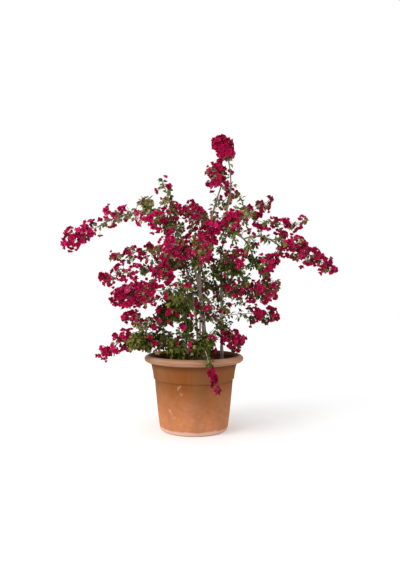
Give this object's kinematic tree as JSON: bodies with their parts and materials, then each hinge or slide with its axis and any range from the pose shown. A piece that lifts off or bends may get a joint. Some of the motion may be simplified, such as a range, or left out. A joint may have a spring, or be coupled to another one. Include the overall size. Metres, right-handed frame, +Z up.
{
  "type": "potted bougainvillea",
  "caption": "Flowering bougainvillea with slender woody stems and arching sprays of crimson bracts and olive leaves, growing in a rolled-rim terracotta pot.",
  "frame": {"origin": "centre of the flat underside of the pot", "axes": "+Z up along the pot's axis, +X to the right as seen from the front, -Y towards the viewer"},
  "size_m": [1.8988, 1.1508, 2.0633],
  "materials": {
    "terracotta": "matte fired clay",
    "potting_soil": "damp and crumbly",
    "bark": "rough grey-brown bark",
    "bract_spray": "papery crimson",
    "leaf_spray": "satin olive"
  },
  "bodies": {
    "root": {"pot": "terracotta", "soil": "potting_soil", "trunk": "bark", "inner_stem": "bark", "right_stem": "bark", "left_stem": "bark", "front_stem": "bark", "back_stem": "bark", "leader": "bark", "spire": "bark", "left_limb": "bark", "left_arm": "bark", "right_limb": "bark", "right_arm": "bark", "right_drop": "bark", "right_high": "bark", "left_mid": "bark", "front_limb": "bark", "trailing_shoot": "bark", "top_ball": "bract_spray", "top_cluster": "bract_spray", "top_skirt": "bract_spray", "crown_arch": "bract_spray", "centre_crown": "bract_spray", "crown_left": "bract_spray", "left_spire": "bract_spray", "left_shoulder": "bract_spray", "left_heart": "bract_spray", "left_spray_upper": "bract_spray", "far_left_spray": "bract_spray", "left_arm_spray": "bract_spray", "centre_high": "bract_spray", "right_shoulder": "bract_spray", "right_upper_spray": "bract_spray", "far_right_spray": "bract_spray", "right_arm_spray": "bract_spray", "right_mid": "bract_spray", "right_low_outer": "bract_spray", "right_bank": "bract_spray", "right_lowest": "bract_spray", "right_skirt": "bract_spray", "centre_heart": "bract_spray", "left_spray_middle": "bract_spray", "left_centre": "bract_spray", "left_bank": "bract_spray", "inner_right": "bract_spray", "left_low_spray": "bract_spray", "left_skirt": "bract_spray", "trailing_spray": "bract_spray", "back_left": "bract_spray", "back_right": "bract_spray", "back_high": "bract_spray", "back_low": "bract_spray", "back_low_right": "bract_spray", "left_tuft": "leaf_spray", "foot_foliage": "leaf_spray", "foot_left": "leaf_spray", "left_green": "leaf_spray", "inner_left": "leaf_spray", "centre_right": "leaf_spray"}
  },
  "joints": []
}
